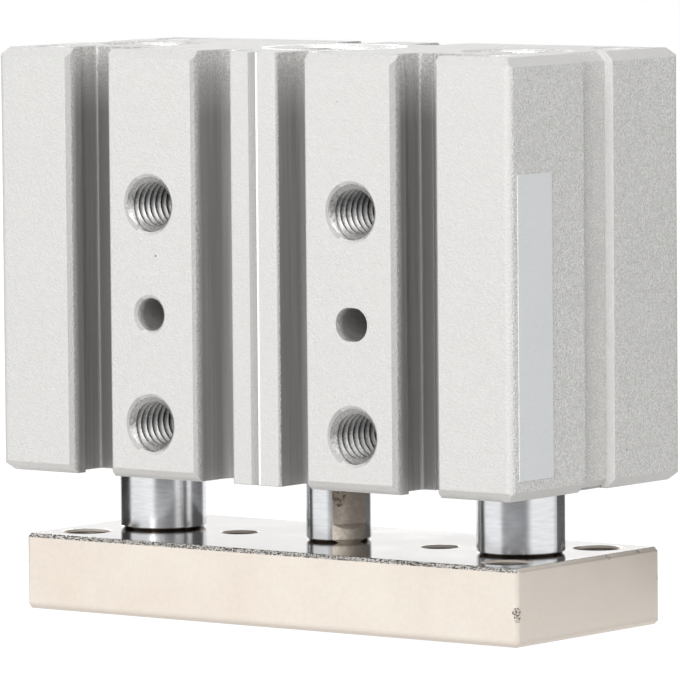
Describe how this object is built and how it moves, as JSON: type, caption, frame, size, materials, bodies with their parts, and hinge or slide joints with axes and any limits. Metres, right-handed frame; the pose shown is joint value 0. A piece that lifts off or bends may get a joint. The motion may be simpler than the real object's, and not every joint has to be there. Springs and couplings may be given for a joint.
{
  "type": "guided pneumatic cylinder",
  "caption": "Compact guided air cylinder: a slotted aluminium block with a piston rod and guide rods that push out a rectangular end plate.",
  "frame": {"origin": "centre of the end plate's underside, the cylinder standing on its plate", "axes": "+Z from the plate to the housing; the housing's flat front with T-slots faces -Y; +X along the row of rods"},
  "size_m": [0.0581, 0.026, 0.052],
  "materials": {
    "anodised_aluminium": "bead-blasted, clear anodised",
    "turned_aluminium": "turned, clear anodised",
    "nickel_plated_steel": "ground, nickel plated",
    "hard_chrome": "ground and hard chromed",
    "bearing_bronze": "sintered, oiled",
    "spring_steel": "phosphated",
    "screw_steel": "black oxide",
    "black_rubber": "moulded",
    "bumper_rubber": "moulded polyurethane",
    "magnet": "bonded ferrite",
    "plain_film": "satin silver film, plain"
  },
  "bodies": {
    "housing": {"housing": "anodised_aluminium", "side_film": "plain_film", "guide_bush_lower_left": "bearing_bronze", "guide_bush_upper_left": "bearing_bronze", "guide_bush_lower_right": "bearing_bronze", "guide_bush_upper_right": "bearing_bronze", "rod_collar": "turned_aluminium", "rod_bush": "bearing_bronze", "rod_seal": "black_rubber", "collar_bumper": "bumper_rubber", "head_cover": "turned_aluminium", "collar_gasket": "black_rubber", "head_gasket": "black_rubber", "collar_retaining_ring": "spring_steel", "head_retaining_ring": "spring_steel"},
    "slide": {"end_plate": "nickel_plated_steel", "guide_rod_left": "hard_chrome", "guide_rod_right": "hard_chrome", "piston_rod": "hard_chrome", "guide_rod_screw_left": "screw_steel", "guide_rod_screw_right": "screw_steel", "piston_rod_screw": "screw_steel", "piston": "turned_aluminium", "piston_seal": "black_rubber", "piston_magnet": "magnet", "piston_bumper": "bumper_rubber"}
  },
  "joints": [
    {"name": "plate_slide", "type": "slide", "parent": "housing", "child": "slide", "axis": [0, 0, -1], "range_m": [0, 0.01]}
  ]
}
